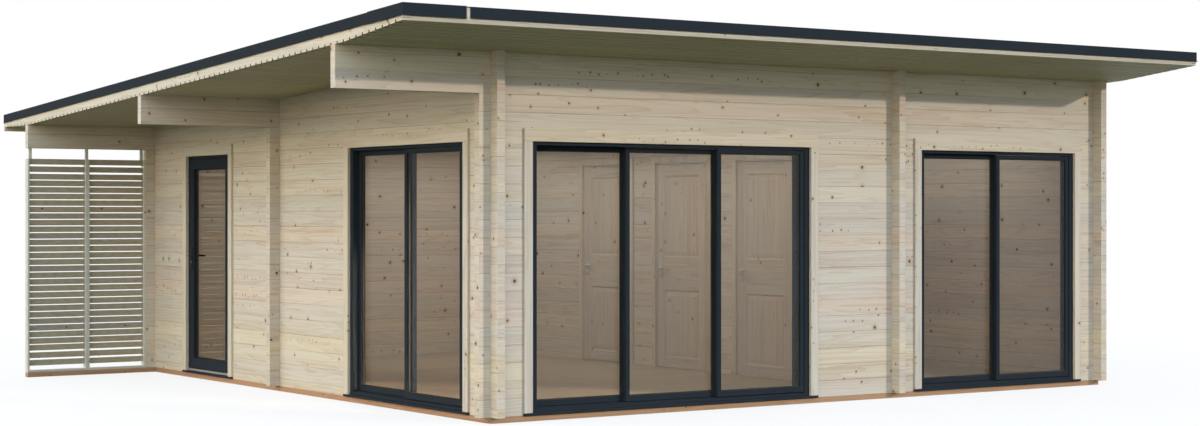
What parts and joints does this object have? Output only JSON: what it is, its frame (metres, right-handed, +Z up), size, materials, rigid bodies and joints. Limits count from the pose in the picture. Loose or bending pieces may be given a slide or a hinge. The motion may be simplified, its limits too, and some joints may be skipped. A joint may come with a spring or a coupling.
{
  "type": "wooden garden house",
  "caption": "Log garden house with a pent roof, glazed sliding doors, an entrance door, an inner partition with panelled doors and a covered terrace behind a louvred screen.",
  "frame": {"origin": "middle of the roof's plan, on the ground under the bearers", "axes": "+X to the right along the glazed front, +Y from the front to the back, +Z up"},
  "size_m": [8.027, 8.096, 3.0084],
  "materials": {
    "spruce_logs": "planed, untreated, with V joints between logs",
    "impregnated_wood": "brown pressure-treated",
    "floor_wood": "planed boards",
    "screen_wood": "sawn, grey-brown",
    "roof_boarding": "planed boards",
    "roof_build_up": "closed build-up of rafters and insulation",
    "roof_membrane": "matt sheet",
    "planed_spruce": "planed",
    "anthracite_metal": "satin powder coat",
    "window_glass": "clear double glazing",
    "black_metal": "satin",
    "door_pine": "planed pine"
  },
  "bodies": {
    "house": {"front_bearer": "impregnated_wood", "back_bearer": "impregnated_wood", "side_bearers": "impregnated_wood", "floor_joists": "floor_wood", "floor": "floor_wood", "front_wall_piers": "spruce_logs", "front_wall_top": "spruce_logs", "left_wall_piers": "spruce_logs", "left_wall_top": "spruce_logs", "right_wall": "spruce_logs", "back_wall": "spruce_logs", "partition_piers": "spruce_logs", "partition_top": "spruce_logs", "tie_log_ends": "spruce_logs", "front_beam": "spruce_logs", "middle_beam": "spruce_logs", "back_beam": "spruce_logs", "privacy_screen": "screen_wood", "roof_boards": "roof_boarding", "roof_core": "roof_build_up", "roof_covering": "roof_membrane", "roof_fascia": "planed_spruce", "edge_trim": "anthracite_metal", "corner_trim": "anthracite_metal", "door_casings": "planed_spruce", "door_sills": "anthracite_metal", "triple_frame": "anthracite_metal", "double_frame": "anthracite_metal", "side_frame": "anthracite_metal", "fixed_leaves": "anthracite_metal", "fixed_glass": "window_glass", "entrance_frame": "anthracite_metal", "inner_door_linings": "planed_spruce"},
    "triple_middle_slider": {"triple_middle_leaf": "anthracite_metal", "triple_middle_glass": "window_glass"},
    "triple_right_slider": {"triple_right_leaf": "anthracite_metal", "triple_right_glass": "window_glass"},
    "double_slider": {"double_leaf": "anthracite_metal", "double_glass": "window_glass"},
    "side_slider": {"side_leaf": "anthracite_metal", "side_glass": "window_glass"},
    "entrance": {"entrance_door": "anthracite_metal", "entrance_glass": "window_glass", "entrance_handle": "black_metal"},
    "front_inner_door": {"inner_door_front": "door_pine"},
    "middle_inner_door": {"inner_door_middle": "door_pine"},
    "back_inner_door": {"inner_door_back": "door_pine"}
  },
  "joints": [
    {"name": "triple_middle_slide", "type": "slide", "parent": "house", "child": "triple_middle_slider", "axis": [-1, 0, 0], "range_m": [0, 0.86]},
    {"name": "triple_right_slide", "type": "slide", "parent": "house", "child": "triple_right_slider", "axis": [-1, 0, 0], "range_m": [0, 1.72]},
    {"name": "double_slide", "type": "slide", "parent": "house", "child": "double_slider", "axis": [-1, 0, 0], "range_m": [0, 0.86]},
    {"name": "side_slide", "type": "slide", "parent": "house", "child": "side_slider", "axis": [0, 1, 0], "range_m": [0, 0.86]},
    {"name": "entrance_hinge", "type": "hinge", "parent": "house", "child": "entrance", "pos_m": [-2.7045, 1.62653, 1.1], "axis": [0, 0, 1], "range_deg": [0, 100]},
    {"name": "front_inner_hinge", "type": "hinge", "parent": "house", "child": "front_inner_door", "pos_m": [1.2945, -1.72022, 1], "axis": [0, 0, 1], "range_deg": [0, 100]},
    {"name": "middle_inner_hinge", "type": "hinge", "parent": "house", "child": "middle_inner_door", "pos_m": [1.2945, -0.43022, 1], "axis": [0, 0, 1], "range_deg": [0, 100]},
    {"name": "back_inner_hinge", "type": "hinge", "parent": "house", "child": "back_inner_door", "pos_m": [1.2945, 0.85978, 1], "axis": [0, 0, 1], "range_deg": [0, 100]}
  ]
}
